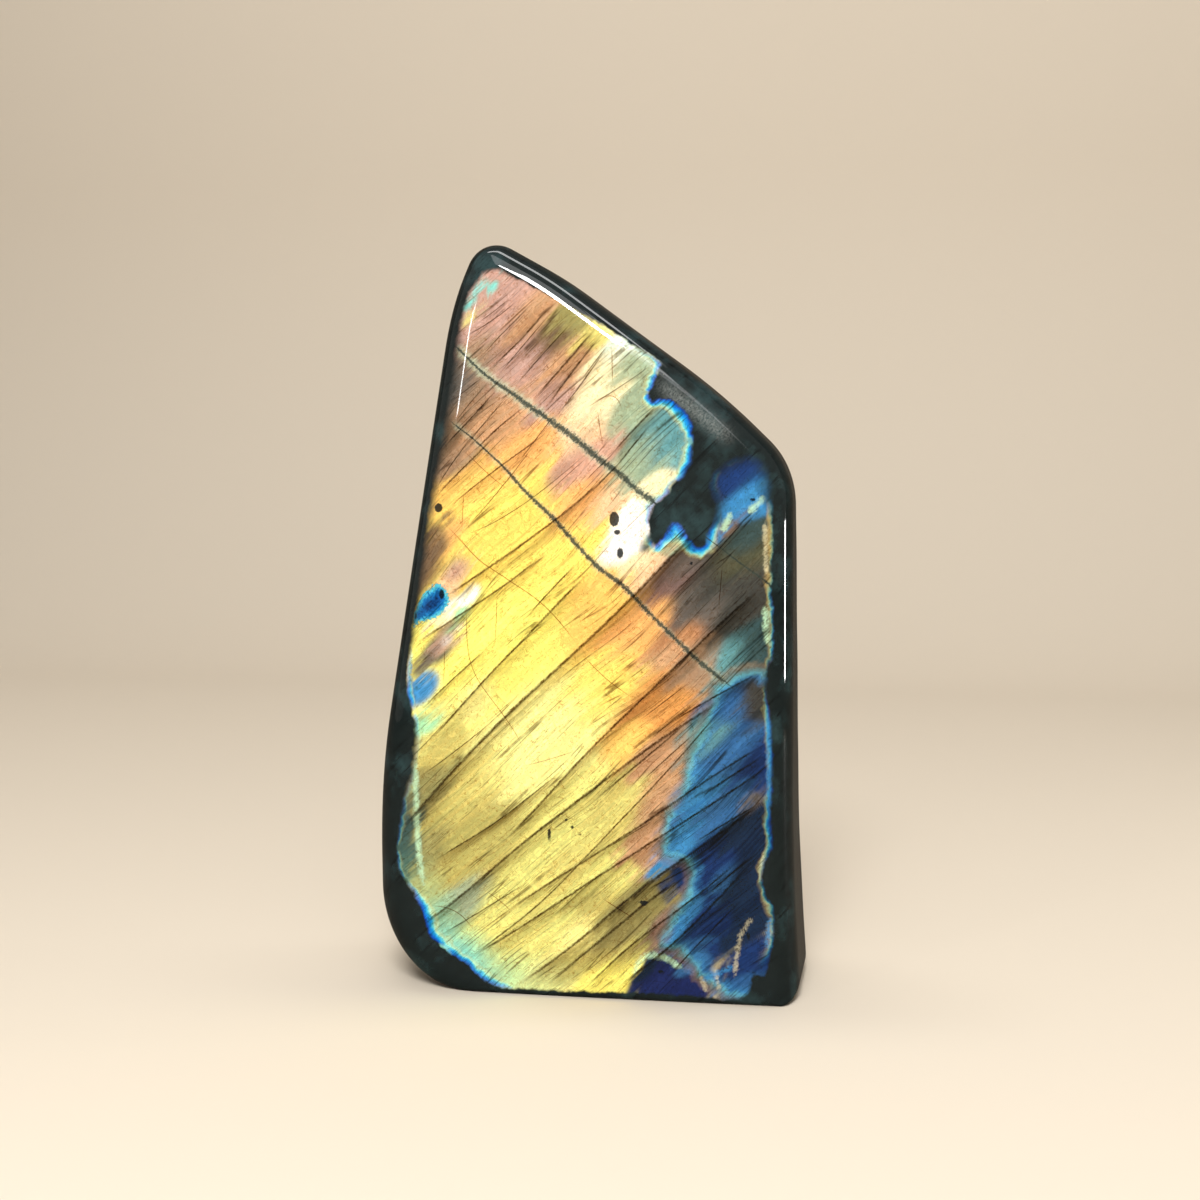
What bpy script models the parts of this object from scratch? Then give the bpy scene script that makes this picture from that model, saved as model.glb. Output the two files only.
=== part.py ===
"""Labradorite freeform: one polished upright slab of stone on a cut base.

Metres, +Z up. The flash face looks along -Y. The origin is the middle of the
bounding box, at the level of the base.
"""

import bmesh
import bpy
import numpy as np

MM = 0.001

# Outline of the face, seen square on: x, z and radius of each corner in mm,
# from the base up the left side, over the tip and down the right side.
BASE_LEFT = (-43.1, 0.0, 27.0)
LEFT_FLANK = (-43.5, 41.0, 180.0)
LEFT_SHOULDER = (-27.7, 137.5, 300.0)
APEX = (-21.1, 152.6, 6.4)
SLOPE_TOP = (-5.6, 144.0, 87.0)
SLOPE_MIDDLE = (26.0, 120.8, 150.0)
RIGHT_SHOULDER = (41.3, 106.0, 18.0)
RIGHT_FLANK = (41.7, 30.0, 600.0)
BASE_RIGHT = (43.4, 0.0, 3.4)
CORNERS = np.array((
    BASE_LEFT,
    LEFT_FLANK,
    LEFT_SHOULDER,
    APEX,
    SLOPE_TOP,
    SLOPE_MIDDLE,
    RIGHT_SHOULDER,
    RIGHT_FLANK,
    BASE_RIGHT,
))
HEIGHT = 150.0
CORNER_STEPS = 40
LONGEST_RUN = 0.49
SMALLEST_RADIUS = 2.0

# Polished edges on the run of outline after each corner, in the same order:
# the width of the round edge across the face, and its depth.
FRONT_WIDTH = np.array((8.0, 7.0, 6.0, 4.8, 4.5, 4.5, 5.0, 5.0, 1.2))
FRONT_DEPTH = np.array((10.0, 9.0, 8.0, 6.0, 6.0, 6.0, 7.0, 7.0, 1.5))
BACK_WIDTH = np.array((15.0, 15.0, 12.0, 9.0, 11.0, 12.0, 14.0, 14.0, 5.0))
BACK_DEPTH = np.array((16.0, 16.0, 13.0, 11.0, 12.0, 12.0, 15.0, 15.0, 7.0))
SHARP_TURN = 0.3

# The middle of the face and of the back, where the rings of the mesh close.
HEART = np.array((0.0, 68.0))

# The face is very slightly crowned.
FACE_CROWN = 0.6
FACE_HALF_SIZE = np.array((43.0, 75.0))

# The back is ground in broad flats that run into one another:
# depth behind the face at the heart, fall towards +X and fall towards +Z.
BACK_FLATS = (
    (45.5, 0.02, 0.12),
    (49.5, 0.34, 0.16),
    (50.5, -0.30, 0.10),
    (49.5, 0.05, 0.27),
    (53.0, -0.12, -0.16),
)
BACK_BLEND = 3.5

# Mesh: points round the outline, and rings along the profile.
AROUND = 120
FACE_RINGS = 3
FRONT_EDGE_RINGS = 6
SIDE_RINGS = 3
BACK_EDGE_RINGS = 7
BACK_RINGS = 7

STONE_COLOUR = (0.045, 0.11, 0.13, 1.0)
STONE_ROUGHNESS = 0.1


def unit(vector):
    """The vector at length one."""
    return vector / np.linalg.norm(vector)


def corner_moves(widths):
    """How far each corner moves when each run is drawn in by its own width.

    A sharp corner follows both of its runs. At a gentle bend, where the two
    runs are almost in line, it moves straight in by their mean.
    """
    places = CORNERS[:, :2]
    moves = []
    for i in range(len(places)):
        ahead = unit(places[(i + 1) % len(places)] - places[i])
        behind = unit(places[i] - places[i - 1])
        inward = np.array(((behind[1], -behind[0]), (ahead[1], -ahead[0])))
        wanted = np.array((widths[i - 1], widths[i]))
        moves.append(np.linalg.pinv(inward, rcond=SHARP_TURN) @ wanted)
    return np.array(moves)


def corner_arc(before, here, after, radius):
    """Arc that rounds one corner, as points from one side to the other."""
    back_length = np.linalg.norm(before - here)
    ahead_length = np.linalg.norm(after - here)
    back = (before - here) / back_length
    ahead = (after - here) / ahead_length
    half_angle = 0.5 * np.arccos(np.clip(back @ ahead, -1.0, 1.0))
    run = min(
        radius / np.tan(half_angle),
        LONGEST_RUN * back_length,
        LONGEST_RUN * ahead_length,
    )
    radius = run * np.tan(half_angle)
    centre = here + unit(back + ahead) * radius / np.sin(half_angle)
    start = here + back * run - centre
    end = here + ahead * run - centre
    first = np.arctan2(start[1], start[0])
    sweep = np.arctan2(start[0] * end[1] - start[1] * end[0], start @ end)
    angle = first + sweep * np.linspace(0.0, 1.0, CORNER_STEPS)
    return centre + radius * np.stack([np.cos(angle), np.sin(angle)], axis=1)


def outline(moves, share):
    """The rounded outline, closed, drawn in by a share of the corner moves."""
    places = CORNERS[:, :2] + moves * share
    drawn_in = np.linalg.norm(moves, axis=1) * share
    smallest = np.minimum(CORNERS[:, 2], SMALLEST_RADIUS)
    radii = np.maximum(CORNERS[:, 2] - drawn_in, smallest)
    count = len(places)
    arcs = [
        corner_arc(places[i - 1], places[i], places[(i + 1) % count], radii[i])
        for i in range(count)
    ]
    return np.concatenate(arcs + [arcs[0][:1]])


def even_steps():
    """Where along the outline's points its evenly spaced stations lie."""
    loop = outline(np.zeros((len(CORNERS), 2)), 0.0)
    lengths = np.linalg.norm(np.diff(loop, axis=0), axis=1)
    travelled = np.concatenate([[0.0], np.cumsum(lengths)])
    where = np.linspace(0.0, travelled[-1], AROUND, endpoint=False)
    return np.interp(where, travelled, np.arange(len(loop)))


def at_stations(values, stations):
    """Values along the outline's points, read off at the stations."""
    index = np.arange(len(values))
    columns = [np.interp(stations, index, column) for column in values.T]
    return np.stack(columns, axis=1)


def edge_depths(depths, stations):
    """Depth of the round edge at the stations, eased round each corner."""
    ease = 0.5 - 0.5 * np.cos(np.pi * np.linspace(0.0, 1.0, CORNER_STEPS))
    runs = [depths[i - 1] + (depths[i] - depths[i - 1]) * ease for i in range(len(depths))]
    along = np.concatenate(runs + [runs[0][:1]])
    return at_stations(along[:, None], stations)[:, 0]


def face_depth(ring):
    """Depth of the face: flat, and falling back a little towards its rim."""
    away = (ring - HEART) / FACE_HALF_SIZE
    return FACE_CROWN * (away**2).sum(axis=1)


def back_depth(ring):
    """Depth of the back: the least of the broad flats, softly blended."""
    x, z = (ring - HEART).T
    flats = [depth - fall_x * x - fall_z * z for depth, fall_x, fall_z in BACK_FLATS]
    shares = sum(np.exp(-flat / BACK_BLEND) for flat in flats)
    return -BACK_BLEND * np.log(shares)


def profile():
    """Rings of the stone from the face to the back: places in x, z and depth."""
    stations = even_steps()
    front_moves = corner_moves(FRONT_WIDTH)
    back_moves = corner_moves(BACK_WIDTH)
    front_drop = edge_depths(FRONT_DEPTH, stations)
    back_drop = edge_depths(BACK_DEPTH, stations)

    rings = []
    inner = at_stations(outline(front_moves, 1.0), stations)
    for step in range(1, FACE_RINGS):
        ring = HEART + (inner - HEART) * step / FACE_RINGS
        rings.append((ring, face_depth(ring)))
    for step in range(FRONT_EDGE_RINGS + 1):
        turn = 0.5 * np.pi * step / FRONT_EDGE_RINGS
        ring = at_stations(outline(front_moves, 1.0 - np.sin(turn)), stations)
        rings.append((ring, face_depth(ring) + front_drop * (1.0 - np.cos(turn))))
    rim, side_start = rings[-1]
    side_end = back_depth(rim) - back_drop
    for step in range(1, SIDE_RINGS):
        rings.append((rim, side_start + (side_end - side_start) * step / SIDE_RINGS))
    for step in range(BACK_EDGE_RINGS + 1):
        turn = 0.5 * np.pi * step / BACK_EDGE_RINGS
        ring = at_stations(outline(back_moves, 1.0 - np.cos(turn)), stations)
        rings.append((ring, back_depth(ring) - back_drop * (1.0 - np.sin(turn))))
    inner = rings[-1][0]
    for step in range(1, BACK_RINGS):
        ring = HEART + (inner - HEART) * (1.0 - step / BACK_RINGS)
        rings.append((ring, back_depth(ring)))
    return rings


def stone_mesh():
    """Closed mesh over the rings, with a fan at the heart of each side."""
    rings = profile()
    lowest = min(depth.min() for _, depth in rings)
    deepest = max(depth.max() for _, depth in rings)
    middle = 0.5 * (lowest + deepest)
    top = max(ring[:, 1].max() for ring, _ in rings)

    def place(ring, depth):
        """Points of a ring in the frame of the stone, in metres."""
        return np.stack([ring[:, 0], depth - middle, ring[:, 1] * HEIGHT / top], axis=1) * MM

    mesh = bmesh.new()
    loops = [[mesh.verts.new(point) for point in place(*ring)] for ring in rings]
    heart = HEART[None, :]
    face_heart = mesh.verts.new(place(heart, face_depth(heart))[0])
    back_heart = mesh.verts.new(place(heart, back_depth(heart))[0])
    for i in range(AROUND):
        j = (i + 1) % AROUND
        mesh.faces.new((face_heart, loops[0][i], loops[0][j]))
        mesh.faces.new((back_heart, loops[-1][j], loops[-1][i]))
        for near, far in zip(loops, loops[1:]):
            mesh.faces.new((near[i], far[i], far[j], near[j]))
    bmesh.ops.recalc_face_normals(mesh, faces=mesh.faces)
    return mesh


def stone_material():
    """Dark grey-green polished feldspar."""
    material = bpy.data.materials.new("polished_labradorite")
    material.use_nodes = True
    shader = material.node_tree.nodes["Principled BSDF"]
    shader.inputs["Base Color"].default_value = STONE_COLOUR
    shader.inputs["Roughness"].default_value = STONE_ROUGHNESS
    shader.inputs["Metallic"].default_value = 0.0
    return material


def main():
    """Empty scene, then the one stone."""
    for item in list(bpy.data.objects):
        bpy.data.objects.remove(item, do_unlink=True)
    surface = stone_mesh()
    data = bpy.data.meshes.new("stone")
    surface.to_mesh(data)
    surface.free()
    data.materials.append(stone_material())
    data.shade_smooth()
    bpy.context.scene.collection.objects.link(bpy.data.objects.new("stone", data))


main()
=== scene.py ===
# Polished labradorite freeform: its surface, flash, veins and streaks, with the lights and the camera.
import math
from types import SimpleNamespace

import bpy
import numpy as np
from mathutils import Matrix


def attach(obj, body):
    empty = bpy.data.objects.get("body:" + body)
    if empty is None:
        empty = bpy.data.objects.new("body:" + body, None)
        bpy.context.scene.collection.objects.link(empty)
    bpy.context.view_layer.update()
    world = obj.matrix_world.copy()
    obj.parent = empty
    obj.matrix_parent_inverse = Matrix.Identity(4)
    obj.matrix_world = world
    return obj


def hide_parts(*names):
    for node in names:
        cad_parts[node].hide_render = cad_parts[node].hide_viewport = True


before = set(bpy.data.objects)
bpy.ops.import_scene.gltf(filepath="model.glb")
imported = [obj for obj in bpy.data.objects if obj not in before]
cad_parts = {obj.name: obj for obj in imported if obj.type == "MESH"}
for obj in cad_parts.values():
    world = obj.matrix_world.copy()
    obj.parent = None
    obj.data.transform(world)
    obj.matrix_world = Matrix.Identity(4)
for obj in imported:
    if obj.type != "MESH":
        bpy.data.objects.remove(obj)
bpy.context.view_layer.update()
mm = 0.001

# The camera stands a little to the right of the face and looks slightly down on it.
view = {
    "imageSide": 1200.0,  # the photograph's width and height in its pixels
    "focal": 1800.0,  # in the same pixels
    "distance": 0.3775,
    "azimuth": 10.0,
    "elevation": 4.0,
    "target": (-0.0001, 0.0012, 0.0782),
}


def cameraAxes():
    # where the camera stands, and its right, up and forward directions
    turn = math.radians(view["azimuth"])
    rise = math.radians(view["elevation"])
    backward = np.array([
        math.sin(turn) * math.cos(rise), -math.cos(turn) * math.cos(rise), math.sin(rise)
    ])
    place = np.array(view["target"]) + view["distance"] * backward
    right = np.array([math.cos(turn), math.sin(turn), 0.0])
    return place, right, np.cross(backward, right), -backward


def setPlace(item, right, up, backward, place):
    # turns an object's axes to three directions and moves it to its place
    rows = np.column_stack([right, up, backward, place]).tolist()
    item.matrix_world = Matrix([*rows, [0.0, 0.0, 0.0, 1.0]])


def addObject(name, data):
    # an object in the scene
    item = bpy.data.objects.new(name, data)
    bpy.context.scene.collection.objects.link(item)
    return item


def addCamera():
    # a lens whose field of view is the photograph's width over its focal length
    place, right, up, forward = cameraAxes()
    data = bpy.data.cameras.new("camera")
    data.sensor_width = 36.0
    data.lens = data.sensor_width * view["focal"] / view["imageSide"]
    data.clip_start = 0.01
    item = addObject("camera", data)
    setPlace(item, right, up, -forward, place)
    bpy.context.scene.camera = item


addCamera()
print("camera in place")


# The form of the stone, the same as the solid's, in mm.
form = {
    "corners": {  # up the left side, over the tip and down the right: x, z, radius
        "baseLeft": (-43.1, 0.0, 27.0),
        "leftFlank": (-43.5, 41.0, 180.0),
        "leftShoulder": (-27.7, 137.5, 300.0),
        "tip": (-21.1, 152.6, 6.4),
        "slopeTop": (-5.6, 144.0, 87.0),
        "slopeMiddle": (26.0, 120.8, 150.0),
        "rightShoulder": (41.3, 106.0, 18.0),
        "rightFlank": (41.7, 30.0, 600.0),
        "baseRight": (43.4, 0.0, 3.4),
    },
    # round edges on the run after each corner: width across the face, and depth
    "frontWidth": (8.0, 7.0, 6.0, 4.8, 4.5, 4.5, 5.0, 5.0, 1.2),
    "frontDepth": (10.0, 9.0, 8.0, 6.0, 6.0, 6.0, 7.0, 7.0, 1.5),
    "backWidth": (15.0, 15.0, 12.0, 9.0, 11.0, 12.0, 14.0, 14.0, 5.0),
    "backDepth": (16.0, 16.0, 13.0, 11.0, 12.0, 12.0, 15.0, 15.0, 7.0),
    "height": 150.0,
    "smallestRadius": 2.0,
    "longestTangent": 0.49,  # of a run of outline, taken up by one corner's arc
    "gentleBend": 0.3,  # against the sharper pull at a corner, where it follows the mean of its runs
    "heart": (0.0, 68.0),
    "faceCrown": 0.6,
    "faceHalfSize": (43.0, 75.0),
    "backFlats": (  # depth at the heart, fall towards +X, fall towards +Z
        (45.5, 0.02, 0.12),
        (49.5, 0.34, 0.16),
        (50.5, -0.30, 0.10),
        (49.5, 0.05, 0.27),
        (53.0, -0.12, -0.16),
    ),
    "backBlend": 3.5,
    "waveHeight": 0.22,  # slow swells left by hand grinding on the sides and the back
    "waveLength": 27.0,
    "waveSlants": (0.6, 0.8, -0.5),
    "waveFacing": (-0.2, 0.7),  # from no swell to all of it as the surface turns to the back
    "waveRise": (1.0, 14.0),  # the same above the cut base
    "cornerSteps": 40,
    "around": 640,
    "faceRings": 92,
    "frontEdgeRings": 14,
    "sideRings": 9,
    "backEdgeRings": 12,
    "backRings": 20,
}
corners = np.array(list(form["corners"].values()))
heart = np.array(form["heart"])


def unit(vector):
    # the vector at length one
    return vector / np.linalg.norm(vector)


def cornerMoves(widths):
    # how far each corner moves when each run of outline is drawn in by its width:
    # a sharp corner follows both runs, a gentle bend their mean
    places = corners[:, :2]
    moves = []
    for i in range(len(places)):
        ahead = unit(places[(i + 1) % len(places)] - places[i])
        behind = unit(places[i] - places[i - 1])
        inward = np.array([[behind[1], -behind[0]], [ahead[1], -ahead[0]]])
        moves.append(np.linalg.pinv(inward, rcond=form["gentleBend"]) @ np.array([widths[i - 1], widths[i]]))
    return np.array(moves)


def cornerArc(before, here, after, radius):
    # the arc that touches both runs of a corner
    backLength = np.linalg.norm(before - here)
    aheadLength = np.linalg.norm(after - here)
    back = (before - here) / backLength
    ahead = (after - here) / aheadLength
    half = 0.5 * np.arccos(np.clip(back @ ahead, -1.0, 1.0))
    run = min(radius / np.tan(half), form["longestTangent"] * min(backLength, aheadLength))
    radius = run * np.tan(half)
    centre = here + unit(back + ahead) * radius / np.sin(half)
    start = here + back * run - centre
    end = here + ahead * run - centre
    sweep = np.arctan2(start[0] * end[1] - start[1] * end[0], start @ end)
    angle = np.arctan2(start[1], start[0]) + sweep * np.linspace(0.0, 1.0, form["cornerSteps"])
    return centre + radius * np.stack([np.cos(angle), np.sin(angle)], axis=1)


def outlineLoop(moves, share):
    # the rounded outline, closed, with its corners moved in by a share of their moves
    places = corners[:, :2] + moves * share
    drawnIn = np.linalg.norm(moves, axis=1) * share
    radii = np.maximum(corners[:, 2] - drawnIn, np.minimum(corners[:, 2], form["smallestRadius"]))
    count = len(places)
    arcs = []
    for i in range(count):
        arcs.append(cornerArc(places[i - 1], places[i], places[(i + 1) % count], radii[i]))
    return np.concatenate(arcs + [arcs[0][:1]])


def evenStations(count):
    # where stations at even steps of length lie along the outline's points
    loop = outlineLoop(np.zeros((len(corners), 2)), 0.0)
    travelled = np.concatenate([[0.0], np.cumsum(np.linalg.norm(np.diff(loop, axis=0), axis=1))])
    where = np.linspace(0.0, travelled[-1], count, endpoint=False)
    return np.interp(where, travelled, np.arange(len(loop)))


def atStations(values, stations):
    # columns of values along the outline's points, read off between points
    index = np.arange(len(values))
    return np.stack([np.interp(stations, index, column) for column in values.T], axis=1)


def edgeDepths(depths, stations):
    # depth of the round edge at the stations, easing from run to run on a half cosine
    ease = 0.5 - 0.5 * np.cos(np.pi * np.linspace(0.0, 1.0, form["cornerSteps"]))
    runs = [depths[i - 1] + (depths[i] - depths[i - 1]) * ease for i in range(len(depths))]
    return atStations(np.concatenate(runs + [runs[0][:1]])[:, None], stations)[:, 0]


def faceDepth(ring):
    # crown times the squared distance from the heart, in half sizes of the face
    away = (ring - heart) / np.array(form["faceHalfSize"])
    return form["faceCrown"] * (away**2).sum(axis=1)


def backDepth(ring):
    # soft least of the back's flats: minus blend times the log of the sum of exp(-flat / blend)
    x, z = (ring - heart).T
    blend = form["backBlend"]
    flats = [depth - fallX * x - fallZ * z for depth, fallX, fallZ in form["backFlats"]]
    return -blend * np.log(sum(np.exp(-flat / blend) for flat in flats))


def stoneGrid():
    # grid of points in metres: one axis runs round the outline, the other from the heart
    # of the face over its quarter-ellipse edge, the side and the back edge to the heart of the back
    stations = evenStations(form["around"])
    frontMoves = cornerMoves(form["frontWidth"])
    backMoves = cornerMoves(form["backWidth"])
    frontDrop = edgeDepths(form["frontDepth"], stations)
    backDrop = edgeDepths(form["backDepth"], stations)
    rings = []
    inner = atStations(outlineLoop(frontMoves, 1.0), stations)
    for share in np.arange(1, form["faceRings"]) / form["faceRings"]:
        ring = heart + (inner - heart) * share
        rings.append((ring, faceDepth(ring)))
    for turn in np.linspace(0.0, 0.5 * np.pi, form["frontEdgeRings"] + 1):
        ring = atStations(outlineLoop(frontMoves, 1.0 - np.sin(turn)), stations)
        rings.append((ring, faceDepth(ring) + frontDrop * (1.0 - np.cos(turn))))
    rim, sideStart = rings[-1]
    sideEnd = backDepth(rim) - backDrop
    for share in np.arange(1, form["sideRings"]) / form["sideRings"]:
        rings.append((rim, sideStart + (sideEnd - sideStart) * share))
    for turn in np.linspace(0.0, 0.5 * np.pi, form["backEdgeRings"] + 1):
        ring = atStations(outlineLoop(backMoves, 1.0 - np.cos(turn)), stations)
        rings.append((ring, backDepth(ring) - backDrop * (1.0 - np.sin(turn))))
    inner = rings[-1][0]
    for share in 1.0 - np.arange(1, form["backRings"]) / form["backRings"]:
        ring = heart + (inner - heart) * share
        rings.append((ring, backDepth(ring)))
    flat = np.array([ring for ring, depth in rings])
    depth = np.array([depth for ring, depth in rings])
    top = flat[:, :, 1].max()
    middle = 0.5 * (depth.min() + depth.max())
    return np.stack([flat[:, :, 0], depth - middle, flat[:, :, 1] * form["height"] / top], axis=2) * mm


def gridNormals(grid):
    # cross product of the two grid directions, pointing out of the stone
    sideways = np.roll(grid, -1, axis=1) - np.roll(grid, 1, axis=1)
    along = np.gradient(grid, axis=0)
    normals = np.cross(along, sideways)
    normals /= np.linalg.norm(normals, axis=2)[:, :, None]
    return normals * np.sign(-normals[form["faceRings"] // 2, 0, 1])


def smoothStep(low, high, value):
    # 0 below low, 1 above high, and 3t^2 - 2t^3 between them
    t = np.clip((value - low) / (high - low), 0.0, 1.0)
    return t * t * (3.0 - 2.0 * t)


def addSwell(grid):
    # sides and back moved along their normals by a product of two slow waves
    normals = gridNormals(grid)
    x, y, z = np.moveaxis(grid / mm, 2, 0)
    turn = 2.0 * np.pi / form["waveLength"]
    first, second, third = form["waveSlants"]
    swell = np.sin(turn * (x + first * z)) * np.cos(turn * (second * y + third * z))
    free = smoothStep(*form["waveFacing"], normals[:, :, 1]) * smoothStep(*form["waveRise"], z)
    return grid + normals * (form["waveHeight"] * mm * swell * free)[:, :, None]


grid = addSwell(stoneGrid())
normals = gridNormals(grid)
ringCount, around = grid.shape[:2]
faceHeart = grid[0].mean(axis=0)
backHeart = grid[-1].mean(axis=0)
points = np.concatenate([grid.reshape(-1, 3), [faceHeart, backHeart]])
facing = np.concatenate([-normals[:, :, 1].ravel(), [1.0, -1.0]])
print("surface worked out:", len(points), "points")


def makeMesh(name, points, quads, triangles):
    # mesh from point and corner arrays, four-sided faces first
    data = bpy.data.meshes.new(name)
    data.vertices.add(len(points))
    data.vertices.foreach_set("co", points.astype(np.float32).ravel())
    loops = np.concatenate([quads.ravel(), triangles.ravel()])
    data.loops.add(len(loops))
    data.loops.foreach_set("vertex_index", loops.astype(np.int32))
    starts = np.concatenate([
        np.arange(len(quads)) * 4, len(quads) * 4 + np.arange(len(triangles)) * 3
    ])
    data.polygons.add(len(starts))
    data.polygons.foreach_set("loop_start", starts.astype(np.int32))
    data.update(calc_edges=True)
    data.validate()
    data.shade_smooth()
    return data, loops


def stoneFaces():
    # four-sided faces between neighbouring rings, and a fan at each heart
    index = np.arange(ringCount * around).reshape(ringCount, around)
    near = index[:-1]
    far = index[1:]
    nearNext = np.roll(near, -1, axis=1)
    farNext = np.roll(far, -1, axis=1)
    quads = np.stack([near, far, farNext, nearNext], axis=2).reshape(-1, 4)
    first = index[0]
    last = index[-1]
    tip = np.full(around, ringCount * around)
    faceFan = np.stack([tip, first, np.roll(first, -1)], axis=1)
    backFan = np.stack([tip + 1, np.roll(last, -1), last], axis=1)
    return quads, np.concatenate([faceFan, backFan])


bake = {"margin": 0.006, "faceShare": 0.6}  # of the bake map's width


def unrolled(loops, quads):
    # bake map: face and front edge on the left, back on the rest;
    # each ring is spread from its heart by the length of surface up to it
    margin, share = bake["margin"], bake["faceShare"]
    flat = grid[:, :, [0, 2]] - heart * mm
    step = np.linalg.norm(np.diff(grid, axis=0), axis=2).mean(axis=1)
    radius = np.linalg.norm(flat, axis=2).mean(axis=1)
    split = form["faceRings"] + form["frontEdgeRings"] + form["sideRings"] // 2
    fromFace = radius[0] + np.concatenate([[0.0], np.cumsum(step)])
    fromBack = radius[-1] + np.concatenate([np.cumsum(step[::-1])[::-1], [0.0]])
    maps = []
    for length, low, high, front in (
        (fromFace, margin, share - margin, True), (fromBack, share + margin, 1.0 - margin, False)
    ):
        spread = flat * (length / radius)[:, None, None]
        rings = slice(0, split + 1) if front else slice(split, ringCount)
        box = spread[rings].reshape(-1, 2)
        small, large = box.min(axis=0), box.max(axis=0)
        place = (spread - small) / (large - small)
        across = place[:, :, 0] if front else 1.0 - place[:, :, 0]
        uv = np.stack([low + (high - low) * across, margin + (1.0 - 2.0 * margin) * place[:, :, 1]], axis=2)
        centre = uv[0].mean(axis=0) if front else uv[-1].mean(axis=0)
        maps.append(np.concatenate([uv.reshape(-1, 2), [centre, centre]]))
    ahead = np.repeat(np.arange(len(quads)) // around < split, 4)
    ahead = np.concatenate([ahead, np.repeat([True, False], around * 3)])
    return np.where(ahead[:, None], maps[0][loops], maps[1][loops])


quads, triangles = stoneFaces()
stoneMesh, loops = makeMesh("labradorite", points, quads, triangles)
bakeMap = stoneMesh.uv_layers.new(name="OFBake")
bakeMap.data.foreach_set("uv", unrolled(loops, quads).astype(np.float32).ravel())
stone = addObject("labradorite", stoneMesh)
print("stone meshed:", len(stoneMesh.polygons), "faces")


# What is seen in the face. Every place is a pixel of the photograph, carried on to the face.
faceLevel = float(grid[:, :, 1].min())


def onFace(spots):
    # photograph pixels to x and z in mm, where their rays from the camera meet the face
    spots = np.atleast_2d(np.array(spots, float))
    place, right, up, forward = cameraAxes()
    half = 0.5 * view["imageSide"]
    sideways = (spots[:, :1] - half) / view["focal"]
    rise = (half - spots[:, 1:2]) / view["focal"]
    rays = forward + sideways * right + rise * up
    reach = (faceLevel - place[1]) / rays[:, 1:2]
    return (place + rays * reach)[:, [0, 2]] / mm


def curveThrough(spots, steps=5):
    # Catmull-Rom curve through the spots, with a few steps in each gap
    spots = np.asarray(spots, float)
    ends = np.concatenate([[2 * spots[0] - spots[1]], spots, [2 * spots[-1] - spots[-2]]])
    t = (np.arange(steps) / steps)[:, None]
    runs = []
    for i in range(1, len(ends) - 2):
        a, b, c, d = ends[i - 1:i + 3]
        runs.append(0.5 * (2 * b + (c - a) * t + (2 * a - 5 * b + 4 * c - d) * t**2
                           + (3 * b - a - 3 * c + d) * t**3))
    return np.concatenate(runs + [spots[-1:]])


def distanceTo(line, places):
    # signed distance from each place to a run of straight pieces, positive on its right,
    # and how far along the run the nearest point lies
    lengths = np.linalg.norm(np.diff(line, axis=0), axis=1)
    passed = np.concatenate([[0.0], np.cumsum(lengths)])
    best = np.full(len(places), np.inf)
    side = np.ones(len(places))
    travelled = np.zeros(len(places))
    for start, end, length, before in zip(line[:-1], line[1:], lengths, passed):
        along = (end - start) / length
        away = places - start
        t = np.clip(away @ along, 0.0, length)
        off = away - t[:, None] * along
        gap = np.hypot(off[:, 0], off[:, 1])
        closer = gap < best
        best = np.where(closer, gap, best)
        side = np.where(closer, np.sign(away[:, 0] * along[1] - away[:, 1] * along[0]), side)
        travelled = np.where(closer, before + t, travelled)
    return best * side, travelled


def inside(loop, places):
    # even-odd test of places against a closed loop
    result = np.zeros(len(places), bool)
    x, z = places.T
    for (x0, z0), (x1, z1) in zip(loop, np.roll(loop, -1, axis=0)):
        if z0 != z1:
            crossing = (z0 > z) != (z1 > z)
            result ^= crossing & (x < (x1 - x0) * (z - z0) / (z1 - z0) + x0)
    return result


def store(name, values):
    # one number, or three, for each point of the mesh
    kind, field = ("FLOAT", "value") if values.ndim == 1 else ("FLOAT_VECTOR", "vector")
    layer = stoneMesh.attributes.new(name, kind, "POINT")
    layer.data.foreach_set(field, values.astype(np.float32).ravel())


def linear(colour):
    # sRGB from 0 to 255 to linear light
    c = np.asarray(colour, float) / 255.0
    return np.where(c <= 0.04045, c / 12.92, ((c + 0.055) / 1.055) ** 2.4)


# The layers in the stone lean back, so marks on the face run on over its edges at a slant.
layersLean = {"x": -0.25, "z": 0.3}
depthIn = (points[:, 1] - faceLevel) / mm
places = np.column_stack([
    points[:, 0] / mm + layersLean["x"] * depthIn, points[:, 2] / mm + layersLean["z"] * depthIn
])

hues = {
    "lemon": (246, 236, 118),
    "paleLemon": (244, 240, 152),
    "lime": (224, 220, 128),
    "gold": (248, 218, 106),
    "honey": (244, 196, 104),
    "orange": (232, 172, 104),
    "amber": (206, 146, 80),
    "copper": (176, 124, 84),
    "tan": (194, 152, 114),
    "fawn": (156, 128, 102),
    "umber": (112, 90, 68),
    "rose": (206, 160, 138),
    "peach": (238, 198, 156),
    "mauve": (186, 150, 138),
    "plum": (118, 94, 88),
    "cream": (242, 230, 184),
    # painted highlight: the pale green-white where the slope's edge mirrors the lamp over the camera
    "paintedHighlight": (214, 232, 212),
    "foam": (190, 230, 190),
    "white": (255, 255, 250),
    "sand": (208, 198, 114),
    "khaki": (182, 172, 98),
    "olive": (146, 140, 86),
    "darkOlive": (80, 80, 58),
    "taupe": (98, 92, 86),
    "shade": (62, 62, 58),
    "sage": (156, 174, 144),
    "mint": (150, 216, 172),
    "aqua": (126, 214, 206),
    "teal": (94, 148, 154),
    "slate": (52, 74, 76),
    "azure": (58, 132, 188),
    "blue": (52, 104, 158),
    "deepBlue": (24, 52, 104),
    "indigo": (26, 38, 88),
    "navy": (22, 42, 70),
    "ink": (14, 20, 24),
}

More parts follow.
